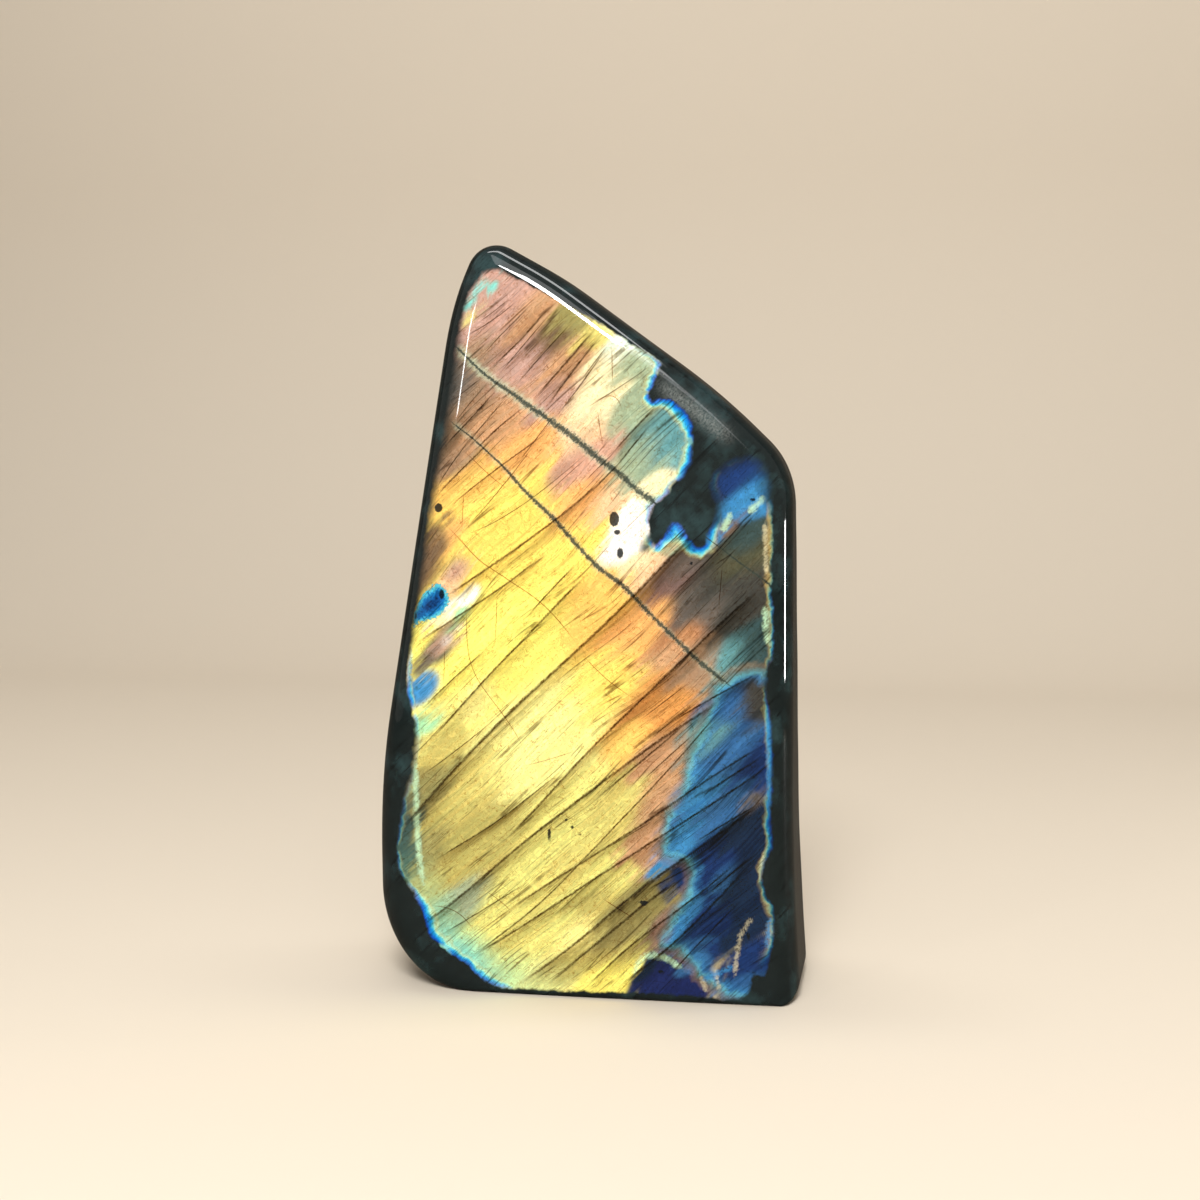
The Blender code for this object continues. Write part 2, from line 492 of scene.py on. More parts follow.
# Where each hue shows: pixel, and radius in pixels. The patches lie long along the streaks.
patches = {
    "lemon": [(508, 638, 40), (602, 980, 12)],
    "paleLemon": [(546, 736, 38), (480, 692, 14), (545, 980, 12), (578, 938, 11)],
    "lime": [(448, 712, 14), (560, 812, 24), (525, 908, 30), (596, 880, 14), (474, 312, 5)],
    "gold": [(500, 520, 32), (545, 566, 30), (598, 686, 26)],
    "honey": [(476, 484, 18), (596, 606, 22), (618, 742, 14)],
    "orange": [(516, 456, 22), (576, 510, 18), (632, 638, 20), (452, 536, 9)],
    "amber": [(648, 704, 18)],
    "copper": [(670, 640, 13)],
    "tan": [(524, 318, 14), (562, 370, 14), (500, 420, 20), (660, 656, 13), (654, 760, 12),
            (650, 806, 15), (640, 846, 11)],
    "fawn": [(480, 392, 16), (478, 350, 12), (688, 672, 13), (456, 462, 10)],
    "umber": [(546, 342, 12), (446, 432, 14), (424, 558, 14), (441, 524, 4), (733, 521, 5)],
    "rose": [(582, 462, 16)],
    "peach": [(582, 428, 15), (602, 504, 11), (647, 567, 11), (452, 582, 8)],
    "mauve": [(494, 316, 20), (514, 368, 17), (548, 398, 15), (463, 563, 9), (446, 641, 9)],
    "plum": [(671, 580, 13), (656, 928, 8)],
    "cream": [(604, 366, 12), (596, 402, 15), (646, 494, 9), (640, 562, 8), (439, 622, 5)],
    # a painted highlight on the flash beside the slope's edge
    "paintedHighlight": [(622, 346, 9)],
    "white": [(630, 531, 14), (462, 602, 6), (452, 634, 4)],
    "sand": [(590, 340, 9), (446, 742, 14), (478, 778, 17), (610, 812, 20), (562, 872, 15), (566, 962, 13)],
    "khaki": [(474, 836, 28), (588, 902, 12), (612, 958, 10)],
    "olive": [(565, 322, 11), (430, 780, 14), (434, 850, 13), (630, 922, 15)],
    "darkOlive": [(738, 560, 15)],
    "taupe": [(458, 386, 14), (692, 608, 17), (682, 568, 10), (434, 655, 8), (750, 797, 5)],
    "shade": [(718, 582, 20), (740, 606, 14), (751, 702, 12), (760, 678, 6)],
    "sage": [(630, 364, 13), (641, 404, 14), (641, 458, 15), (677, 535, 7), (462, 902, 13)],
    "mint": [(456, 620, 5), (428, 722, 8)],
    "aqua": [(473, 294, 4), (497, 280, 3)],
    "teal": [(668, 432, 20), (704, 742, 12), (726, 662, 11)],
    "slate": [(746, 540, 10), (745, 650, 15), (661, 534, 7), (403, 800, 7), (400, 820, 8), (398, 840, 9),
              (400, 858, 8), (404, 874, 6)],
    "azure": [(750, 492, 11), (738, 502, 8), (714, 529, 8), (692, 796, 12), (676, 838, 11), (682, 922, 8),
              (417, 692, 8)],
    "blue": [(724, 716, 11), (722, 758, 14), (738, 796, 8), (718, 882, 8), (716, 812, 10), (690, 955, 7),
             (746, 990, 7)],
    "deepBlue": [(734, 484, 9), (752, 470, 9), (752, 766, 11), (704, 868, 13), (702, 922, 11), (758, 966, 8)],
    "indigo": [(660, 978, 9), (684, 986, 7)],
    "navy": [(744, 840, 12), (734, 876, 9), (742, 906, 10), (650, 966, 5)],
}

patchShape = {
    "stretch": 1.7,
    "angle": 43.0,  # direction of the streaks, in degrees from +X
    "sharpness": 1.15,
    "drift": 1.8,  # mm up and down the streaks between the two readings of a patch
}
streakTurn = math.radians(patchShape["angle"])
alongStreaks = np.array([math.cos(streakTurn), math.sin(streakTurn)])
acrossStreaks = np.array([-alongStreaks[1], alongStreaks[0]])
pixelSize = np.linalg.norm(onFace((601, 600)) - onFace((600, 600)))  # in mm, on the face


def patchColours(places):
    # mean of the hues, each weighted by exp(-(distance / radius)^2) on its own ellipse
    stretch = math.sqrt(patchShape["stretch"])
    total = np.zeros(len(places))
    mixed = np.zeros((len(places), 3))
    for hue, spots in patches.items():
        for x, y, radius in spots:
            away = places - onFace((x, y))
            long = (away @ alongStreaks) / (radius * pixelSize * stretch)
            short = (away @ acrossStreaks) / (radius * pixelSize / stretch)
            weight = np.exp(-patchShape["sharpness"] * (long**2 + short**2)) + 1e-12
            total += weight
            mixed += weight[:, None] * linear(hues[hue])
    return mixed / total[:, None]


# The edge of the flash, clockwise from the tip.
flashEdge = [
    (480, 270), (492, 267), (506, 273), (526, 284), (551, 297), (581, 313), (609, 330), (633, 345),
    (651, 355), (657, 360), (656, 370), (653, 382), (648, 392), (650, 401), (660, 398), (672, 401),
    (684, 412), (691, 425), (692, 445), (690, 463), (683, 476), (673, 483), (667, 493), (658, 501),
    (651, 508), (648, 522), (650, 536), (655, 545), (664, 536), (672, 523), (681, 527), (688, 537),
    (695, 547), (704, 546), (708, 532), (714, 520), (714, 505), (708, 488), (714, 470), (734, 456),
    (757, 454), (768, 470), (770, 492), (770, 540), (769, 580), (771, 620), (771, 650), (767, 668),
    (765, 690), (769, 720), (771, 760), (769, 810), (770, 845), (763, 862), (760, 880), (765, 898),
    (771, 910), (771, 940), (767, 960), (762, 975), (752, 975), (747, 990), (735, 999), (700, 996),
    (640, 992), (600, 991), (560, 990), (513, 988), (492, 985), (478, 976), (466, 964), (452, 955),
    (438, 944), (427, 932), (423, 915), (412, 893), (404, 881), (396, 868), (394, 850), (398, 820),
    (402, 797), (410, 772), (413, 750), (414, 725), (410, 705), (405, 690), (404, 665), (406, 640),
    (410, 612), (413, 590), (416, 565), (419, 540), (422, 520), (426, 495), (429, 475), (434, 450),
    (440, 415), (445, 385), (450, 345), (457, 315), (466, 288),
]

# What the flash does along that edge: pixel, radius in pixels, then the rim's strength from 0 to 1,
# its width in mm, how far it leaves out the blue, and the mm over which the flash fades in.
edgeRims = {
    "slope": ((560, 300), 45, 0.0, 0.5, 0.0, 0.0),
    "slopeEnd": ((625, 345), 25, 0.05, 0.5, 0.0, 0.0),
    "hook": ((652, 385), 22, 0.9, 0.8, 0.0, 0.0),
    "arch": ((680, 405), 22, 1.0, 1.3, 0.0, 0.1),
    "tealSide": ((692, 450), 25, 1.0, 1.3, 0.0, 0.2),
    "lowSide": ((665, 495), 15, 0.7, 1.0, 0.0, 0.2),
    "whiteSide": ((648, 520), 12, 0.6, 0.7, 0.0, 0.0),
    "notch": ((680, 540), 20, 0.9, 1.3, 0.0, 0.1),
    "corner": ((732, 468), 30, 0.0, 1.0, 0.0, 3.4),
    "rightTop": ((770, 545), 25, 0.5, 0.7, 1.3, 0.1),
    "rightMiddle": ((771, 630), 25, 0.35, 0.6, 0.6, 0.1),
    "rightKnot": ((768, 678), 10, 0.0, 0.6, 0.6, 1.2),
    "rightLow": ((770, 770), 50, 0.4, 0.7, 0.0, 0.3),
    "rightFoot": ((765, 900), 30, 0.4, 0.8, 0.7, 0.4),
    "footRight": ((735, 985), 25, 0.0, 1.0, 0.0, 0.2),
    "base": ((580, 992), 60, 0.0, 0.6, 0.0, 0.1),
    "baseLeft": ((480, 975), 25, 0.95, 1.1, 0.0, 0.0),
    "leftFoot": ((430, 930), 28, 1.0, 1.4, 0.0, 0.0),
    "leftLow": ((396, 856), 28, 0.35, 0.6, 0.0, 0.6),
    "leftLower": ((406, 780), 35, 0.2, 0.8, 0.0, 1.0),
    "leftMiddle": ((406, 690), 22, 0.6, 0.8, 0.0, 0.1),
    "leftUpper": ((415, 570), 45, 0.0, 1.0, 0.0, 2.2),
    "leftTop": ((440, 430), 60, 0.0, 1.0, 0.0, 3.2),
    "tip": ((475, 290), 25, 0.0, 1.0, 0.0, 1.0),
}


def blendSpots(spots, places, columns):
    # mean of each spot's values, weighted by exp(-(distance / radius)^2)
    total = np.zeros(len(places))
    mixed = np.zeros((len(places), columns))
    for spot, radius, *values in spots.values():
        away = np.linalg.norm(places - onFace(spot), axis=1) / (radius * pixelSize)
        weight = np.exp(-(away**2)) + 1e-9 / (1.0 + away**2)
        total += weight
        mixed += weight[:, None] * np.array(values)
    return mixed / total[:, None]


def signedEdge(spots, places):
    # distance to a closed curve through the spots, positive inside
    loop = onFace(spots)
    loop = curveThrough(np.concatenate([loop, loop[:1]]), 3)
    gap = np.abs(distanceTo(loop, places)[0])
    return np.where(inside(loop, places), gap, -gap)


inFlash = signedEdge(flashEdge, places)

# Towards the lower left the flash turns to mint and then aqua before its edge.
footTurn = {"spot": (462, 952), "radius": 52.0, "reach": 8.5, "edgeHue": "aqua", "innerHue": "mint"}


def turnedAtFoot(colours, places):
    # mixed to the two hues by exp(-(distance / radius)^2) times a share that grows towards the edge
    away = np.linalg.norm(places - onFace(footTurn["spot"]), axis=1) / (footTurn["radius"] * pixelSize)
    near = 1.0 - smoothStep(0.0, footTurn["reach"], inFlash)
    share = (np.exp(-(away**2)) * near)[:, None]
    inner = linear(hues[footTurn["innerHue"]])
    outer = linear(hues[footTurn["edgeHue"]])
    return colours + (inner * (1.0 - share) + outer * share - colours) * np.sqrt(share)


rims = blendSpots(edgeRims, places, 4)
store("edge", np.column_stack([inFlash, rims[:, :2]]))
store("rimWarmth", rims[:, 2])
store("fadeIn", rims[:, 3])

# the same patches read a little up and a little down the streaks, for the shader to choose between
drift = patchShape["drift"] * alongStreaks
store("colourAhead", turnedAtFoot(patchColours(places + drift), places))
store("colourBehind", turnedAtFoot(patchColours(places - drift), places))
print("patches of colour laid out:", sum(len(spots) for spots in patches.values()))

# The blue field at the lower right, from its top, down its left side and back up its right.
blueEdge = [
    (713, 686), (712, 703), (706, 720), (699, 738), (692, 752), (688, 768), (682, 788), (670, 804),
    (664, 822), (662, 845), (666, 858), (680, 860), (688, 868), (690, 886), (684, 902), (675, 912),
    (668, 925), (660, 940), (662, 948), (672, 950), (682, 952), (690, 965), (700, 980), (740, 1000),
    (790, 1000), (800, 850), (790, 690), (762, 672), (740, 672), (725, 680),
]

# Black pits and grains: pixel, half width and half height in pixels.
pits = {
    "upperPit": (614, 519, 4.6, 6.8),
    "middlePit": (617, 532, 3.0, 2.2),
    "lowerPit": (620, 553, 2.8, 4.8),
    "leftChip": (437, 507, 4.5, 4.5),
    "dash": (549, 834, 1.3, 5.5),
    "grain1": (572, 827, 1.7, 1.5),
    "grain2": (580, 834, 1.4, 1.2),
    "grain3": (566, 820, 1.4, 1.2),
    "knot": (643, 903, 4.5, 2.2),
    "rightGrain": (691, 563, 1.4, 1.4),
    "cornerGrain": (752, 499, 2.2, 1.4),
    "blueSpotTop": (441, 594, 2.4, 4.2),
    "blueSpotFoot": (413, 615, 1.6, 3.4),
    "basinGrain": (660, 972, 2.4, 1.8),
    "footGrain1": (747, 936, 1.6, 3.4),
    "footGrain2": (737, 950, 2.6, 1.8),
}
pitReach = 5.0  # mm past which no distance from a pit is kept
blueSpot = [
    (436, 585), (443, 588), (447, 597), (446, 606), (438, 614), (428, 618), (419, 621), (412, 624),
    (410, 616), (414, 605), (421, 596), (429, 590),
]
paintedReflection = {  # a painted reflection: mirrored light blurred into a grey line on the slant, where the polish is matt; its width, and where it ends and fades, in mm
    "line": [(650, 374), (676, 396), (700, 414), (724, 434), (750, 456)],
    "width": 1.5,
    "taper": 6.0,
    "end": 22.0,
}


def beyond(spot, places):
    # mm from an oval to each place, below zero inside: (distance / half size - 1) times the short half
    x, y, halfWidth, halfHeight = spot
    away = (places - onFace((x, y))) / (np.array([halfWidth, halfHeight]) * pixelSize)
    return (np.hypot(away[:, 0], away[:, 1]) - 1.0) * min(halfWidth, halfHeight) * pixelSize


def fadedEnds(travelled, start, end, taper):
    # 0 at both ends of a stretch, 1 from a taper's length inside it
    return smoothStep(0.0, taper, travelled - start) * smoothStep(0.0, taper, end - travelled)


pitDistance = np.min([beyond(spot, places) for spot in pits.values()], axis=0)
# painted reflection: a grey band of mirrored light along the line, fading at its ends
reflectionAway, reflectionTravelled = distanceTo(curveThrough(onFace(paintedReflection["line"])), places)
reflectionShare = np.exp(-((reflectionAway / paintedReflection["width"]) ** 2))
reflectionShare *= fadedEnds(reflectionTravelled, 0.0, paintedReflection["end"], paintedReflection["taper"])
store("marks", np.column_stack([
    np.clip(pitDistance, -pitReach, pitReach), signedEdge(blueSpot, places), reflectionShare
]))
store("blueEdge", signedEdge(blueEdge, places))
store("facing", facing)
print("edges of the flash and small marks laid out")

# Dark veins across the face: their width and that of their pale sides in mm, and how pale those are.
veins = {
    "upper": {"width": 0.62, "sideWidth": 1.5, "paleness": 0.6, "line": [
        (455, 346), (467, 358), (482, 372), (501, 386), (516, 396), (529, 406), (548, 419), (573, 437),
        (599, 459), (620, 474), (637, 490), (652, 500)]},
    "lower": {"width": 0.44, "sideWidth": 1.0, "paleness": 0.3, "line": [
        (455, 425), (472, 438), (496, 460), (509, 473), (522, 488), (535, 501), (554, 519), (577, 545),
        (599, 568), (621, 584), (635, 598), (656, 620), (691, 654), (712, 672), (722, 680)]},
    "right": {"width": 0.3, "sideWidth": 0.4, "paleness": 0.0, "line": [
        (700, 533), (722, 549), (740, 563), (764, 580), (776, 592)]},
}
veinGrowth = {"start": 0.35, "length": 30.0}  # share of the width at a vein's start, mm to all of it


def veinFields(vein):
    # distance in widths of the vein, which grows from its start, and in widths of its pale sides
    away, travelled = distanceTo(curveThrough(onFace(vein["line"])), places)
    grown = smoothStep(0.0, veinGrowth["length"], travelled)
    width = vein["width"] * (veinGrowth["start"] + (1.0 - veinGrowth["start"]) * grown)
    return away / width, np.abs(away) / vein["sideWidth"]


inVeins = np.array([veinFields(vein) for vein in veins.values()])
store("veinCores", inVeins[:, 0].T)
store("veinSides", inVeins[:, 1].T)
print("veins laid out:", len(veins))

# Streaks: the sheets inside the stone seen edge on. Width in mm, shade and spots; the shade lies on
# the lower right of a streak, or on its upper left where it is below zero.
streaks = [
    # at the top
    (0.16, 0.5, (478, 321), (493, 311), (509, 297)),
    (0.2, 0.6, (460, 337), (482, 328), (501, 313), (519, 297)),
    (0.18, 0.7, (478, 358), (496, 337), (513, 319), (533, 301)),
    (0.36, -1.0, (486, 370), (505, 356), (519, 339), (538, 320), (550, 303)),
    (0.2, 0.5, (496, 376), (521, 345), (541, 323), (552, 309)),
    (0.22, 0.6, (513, 387), (538, 356), (557, 337), (574, 318)),
    (0.42, 1.0, (529, 404), (544, 386), (566, 362), (590, 332), (598, 324)),
    (0.36, -0.8, (543, 411), (566, 377), (590, 346), (604, 330)),
    (0.26, 0.6, (554, 418), (572, 396), (590, 372), (608, 343)),
    # down the left side
    (0.2, 0.4, (446, 403), (460, 394), (482, 376)),
    (0.17, 0.5, (452, 424), (460, 412), (477, 393), (488, 380)),
    (0.24, 0.8, (436, 452), (449, 440), (468, 422), (500, 384)),
    (0.2, 0.6, (460, 452), (471, 439), (486, 417), (508, 394)),
    (0.3, 0.7, (470, 455), (479, 445), (496, 425), (526, 404)),
    (0.16, 0.5, (518, 462), (530, 447), (547, 422), (556, 412)),
    (0.3, 0.9, (430, 500), (449, 481), (465, 465), (482, 448), (500, 430)),
    (0.22, 0.6, (432, 490), (446, 470), (460, 450), (474, 432)),
    # across the upper half
    (0.28, 0.8, (443, 511), (468, 489), (496, 467), (538, 440), (552, 428)),
    (0.16, 0.5, (461, 533), (493, 499), (512, 475), (537, 440)),
    (0.16, -0.4, (461, 537), (496, 527), (531, 502), (573, 464), (590, 450)),
    (0.14, 0.4, (540, 500), (562, 478), (588, 456)),
    (0.3, 0.8, (586, 497), (609, 472), (622, 460)),
    (0.2, 0.5, (582, 484), (599, 465), (618, 448)),
    (0.34, 1.0, (606, 460), (622, 441), (640, 421), (662, 399)),
    (0.34, -0.8, (614, 469), (631, 446), (650, 424)),
    (0.16, 0.7, (580, 411), (606, 396), (634, 377), (655, 361)),
    (0.2, 0.5, (580, 380), (594, 361), (608, 343)),
    # across the middle
    (0.42, 0.9, (438, 601), (449, 594), (492, 566), (524, 542), (557, 521), (590, 493), (612, 470)),
    (0.36, 1.0, (411, 645), (444, 627), (468, 607), (489, 597), (510, 582), (530, 566), (546, 552)),
    (0.3, 0.8, (418, 712), (443, 686), (465, 667), (490, 646)),
    (0.4, 1.0, (425, 744), (449, 722), (463, 702), (482, 682), (502, 660), (524, 641), (545, 617),
     (573, 586), (592, 570)),
    (0.28, 0.8, (524, 620), (540, 600), (566, 575), (580, 560)),
    (0.55, 1.2, (398, 833), (426, 797), (443, 782), (463, 759), (505, 716), (519, 702), (538, 687),
     (578, 650), (606, 623), (636, 595), (656, 572), (680, 548), (692, 532), (716, 514)),
    (0.2, 0.7, (417, 778), (449, 757), (477, 734), (498, 716)),
    (0.26, 1.3, (429, 863), (454, 845), (489, 830), (505, 816), (527, 797), (544, 786), (566, 768)),
    (0.42, 1.2, (502, 842), (519, 828), (545, 800), (569, 769), (590, 751), (609, 730), (650, 691),
     (689, 655), (709, 632), (727, 616), (762, 586)),
    (0.5, 0.9, (412, 931), (429, 919), (459, 898), (482, 879), (505, 855), (529, 838), (553, 820),
     (588, 793), (618, 770), (653, 744), (689, 719), (724, 699)),
    (0.34, 0.8, (588, 806), (612, 785), (639, 763), (668, 740), (697, 713)),
    # across the lower half
    (0.24, 0.6, (434, 938), (466, 920), (505, 896), (530, 880)),
    (0.3, 0.7, (466, 960), (491, 941), (513, 924), (536, 909), (555, 889), (580, 863), (618, 822),
     (646, 794), (686, 754), (728, 700)),
    (0.4, 1.0, (505, 912), (529, 895), (553, 881), (585, 860), (621, 838), (659, 816), (691, 788),
     (724, 767), (769, 741)),
    (0.42, 1.1, (469, 957), (498, 941), (526, 925), (561, 900), (593, 879), (615, 866), (668, 831),
     (712, 803), (749, 782), (770, 763)),
    (0.5, 1.3, (513, 987), (542, 970), (577, 943), (600, 922), (620, 906), (637, 888), (674, 866),
     (706, 842), (741, 819), (771, 795)),
    (0.52, 0.9, (540, 990), (556, 978), (571, 962), (593, 946), (620, 925), (643, 904), (662, 888),
     (690, 874)),
    (0.36, 1.0, (580, 992), (600, 976), (626, 943), (654, 927), (686, 906), (712, 883), (741, 858)),
    (0.5, 1.1, (613, 991), (627, 978), (656, 959), (670, 947), (691, 926), (715, 903), (753, 860)),
    (0.2, 0.5, (600, 852), (621, 839), (654, 820)),
    (0.3, 0.9, (640, 893), (680, 874), (712, 854)),
    # at the right
    (0.3, 0.9, (662, 603), (680, 588), (721, 550), (741, 522), (757, 503)),
    (0.22, 0.6, (655, 556), (668, 546), (690, 522)),
    (0.18, 0.6, (640, 720), (659, 706), (692, 680)),
    (0.26, 0.8, (646, 742), (668, 722), (700, 700)),
    (0.22, 0.7, (636, 786), (660, 764), (700, 728)),
    (0.34, 0.9, (659, 730), (692, 708), (721, 692), (765, 669)),
    (0.3, 0.8, (660, 985), (685, 955), (716, 925), (745, 895)),
    # in the blue field
    (0.42, 1.0, (695, 800), (730, 775), (768, 752)),
    (0.3, 0.8, (690, 845), (725, 820), (765, 800)),
    (0.36, 0.8, (700, 900), (730, 872), (762, 848)),
]

drawn = {
    "taper": 0.28,  # share of a line's length over which it fades at each end
    "longestTaper": 7.0,
    "drawnTo": (1.6, 2.6),  # mm from a line within which it is drawn
    "shadeReach": 9.0,  # a streak's shade, in widths of that streak
    "margin": 7.0,
    "far": 20.0,  # half widths past which no distance is kept
}


def settled(spots):
    # each inner spot moved to a quarter, a half and a quarter of its neighbours and itself
    spots = np.array(spots, float)
    spots[1:-1] = 0.25 * spots[:-2] + 0.5 * spots[1:-1] + 0.25 * spots[2:]
    return spots


def lineFields(line, places):
    # distance from the line carried straight on past both its ends,
    # and a strength that fades to nothing at the ends
    curve = curveThrough(settled(settled(onFace(line))), 4)
    length = np.linalg.norm(np.diff(curve, axis=0), axis=1).sum()
    first = unit(curve[0] - curve[1]) * length
    last = unit(curve[-1] - curve[-2]) * length
    low, high = curve.min(axis=0) - drawn["margin"], curve.max(axis=0) + drawn["margin"]
    near = ((places > low) & (places < high)).all(axis=1)
    longer = np.concatenate([[curve[0] + first], curve, [curve[-1] + last]])
    away, travelled = distanceTo(longer, places[near])
    taper = min(drawn["taper"] * length, drawn["longestTaper"])
    return near, away, fadedEnds(travelled, length, 2.0 * length, taper)


def addLines(lines, prefix):
    # three lines to an attribute; returns what the shade of all of them comes to
    distances = np.full((len(places), 3 * math.ceil(len(lines) / 3)), drawn["far"])
    strengths = np.zeros_like(distances)
    shade = np.zeros(len(places))
    for i, (width, shadeSide, *spots) in enumerate(lines):
        near, away, ends = lineFields(spots, places)
        distances[near, i] = np.clip(2.0 * away / width, -drawn["far"], drawn["far"])
        strengths[near, i] = ends * (1.0 - smoothStep(*drawn["drawnTo"], np.abs(away)))
        beside = away * np.sign(shadeSide) / (width * drawn["shadeReach"])
        cast = abs(shadeSide) * ends * np.where(beside > 0.0, 1.0 - smoothStep(0.0, 1.0, beside), 0.0)
        shade[near] = np.maximum(shade[near], cast)
    for i in range(0, distances.shape[1], 3):
        store(prefix + "Away" + str(i // 3), distances[:, i:i + 3])
        store(prefix + "Strength" + str(i // 3), strengths[:, i:i + 3])
    return shade


store("streakShade", addLines(streaks, "streak"))

# Healed cracks: thin brown lines that cross the streaks, and cast no shade.
cracks = [
    (0.16, 0.0, (440, 521), (450, 527), (461, 540), (472, 555), (483, 567), (492, 566), (502, 577),
     (514, 584), (528, 592), (540, 601), (552, 612), (566, 628), (580, 648)),
    (0.12, 0.0, (460, 447), (474, 461), (488, 474), (500, 486), (512, 492)),
    (0.13, 0.0, (460, 600), (466, 585), (468, 615), (464, 640), (467, 662), (475, 680), (486, 692),
     (503, 715), (520, 735), (527, 755)),
    (0.12, 0.0, (463, 490), (462, 510), (461, 533)),
    (0.13, 0.0, (580, 652), (596, 668), (606, 684), (624, 690), (636, 700)),
    (0.14, 0.0, (611, 345), (611, 372), (612, 384)),
    (0.13, 0.0, (590, 404), (598, 400), (612, 386), (622, 398), (622, 412)),
    (0.12, 0.0, (597, 408), (598, 430), (603, 448)),
    (0.16, 0.0, (600, 897), (612, 906), (624, 912), (636, 920)),
    (0.1, 0.0, (520, 767), (548, 762), (578, 750)),
    (0.14, 0.0, (722, 563), (721, 580), (718, 608)),
    (0.13, 0.0, (497, 592), (496, 618), (495, 645)),
    (0.13, 0.0, (444, 646), (444, 664), (443, 684)),
    (0.16, 0.0, (428, 905), (445, 903), (458, 912), (468, 920), (474, 932)),
    (0.12, 0.0, (484, 890), (500, 898), (512, 912)),
]
addLines(cracks, "crack")

# Soft coloured lines along the flash, by hue: half width in mm, strength, and the lines.
glows = {
    "foam": {"halfWidth": 1.0, "strength": 0.75, "lines": [
        [(412, 738), (415, 760), (416, 800), (415, 840), (417, 880), (428, 908)],
        [(764, 594), (766, 625), (767, 655)],
        [(628, 993), (632, 972), (639, 955), (648, 949), (664, 956), (684, 968), (697, 980)],
        [(768, 491), (756, 502), (743, 517)],
        [(735, 507), (728, 512), (724, 522), (722, 538)],
    ]},
    "cream": {"halfWidth": 0.7, "strength": 0.42, "lines": [
        [(764, 504), (765, 540), (764, 572), (766, 592)],
        [(769, 844), (760, 856), (757, 872), (761, 892)],
        [(769, 900), (760, 912), (746, 920), (738, 930), (735, 948), (735, 972), (731, 998)],
        [(696, 970), (704, 984), (708, 998)],
        [(712, 962), (721, 980), (717, 999)],
    ]},
    "azure": {"halfWidth": 0.8, "strength": 0.8, "lines": [
        [(407, 650), (409, 672), (408, 695)],
        [(767, 690), (769, 735), (768, 790), (768, 840)],
        [(770, 905), (768, 930), (764, 960)],
        [(690, 984), (715, 975), (742, 962)],
    ]},
}
glowReach = {"none": 6.0, "ends": 2.0}  # mm where there is no line, and mm added where a line ends


def nearest(lines):
    # mm to the nearest of the lines, more where a line fades at its ends
    result = np.full(len(places), glowReach["none"])
    for line in lines:
        near, away, ends = lineFields(line, places)
        result[near] = np.minimum(result[near], np.abs(away) + glowReach["ends"] * (1.0 - ends))
    return result


store("glow", np.column_stack([nearest(glow["lines"]) for glow in glows.values()]))
print("streaks laid out:", len(streaks), "and cracks:", len(cracks))


def rgb(colour):
    # linear colour with alpha from sRGB
    return (*linear(colour), 1.0)


def sockets(*values):
    # the values by the number of their socket, without those that aren't given
    return {i: value for i, value in enumerate(values) if value is not None}


class Wire:
    # a socket's output; arithmetic on it adds Math nodes
    def __init__(self, finish, socket):
        self.finish = finish
        self.socket = socket

    def maths(self, operation, first, second=None):
        # a Math node on one or two values
        return self.finish.node("ShaderNodeMath", {"operation": operation}, sockets(first, second))

    def __add__(self, other):
        return self.maths("ADD", self, other)

    def __radd__(self, other):
        return self.maths("ADD", other, self)

    def __sub__(self, other):
        return self.maths("SUBTRACT", self, other)

    def __rsub__(self, other):
        return self.maths("SUBTRACT", other, self)

    def __mul__(self, other):
        return self.maths("MULTIPLY", self, other)

    def __rmul__(self, other):
        return self.maths("MULTIPLY", other, self)

    def __truediv__(self, other):
        return self.maths("DIVIDE", self, other)

    def __abs__(self):
        return self.maths("ABSOLUTE", self)

    def most(self, other):
        return self.maths("MAXIMUM", self, other)


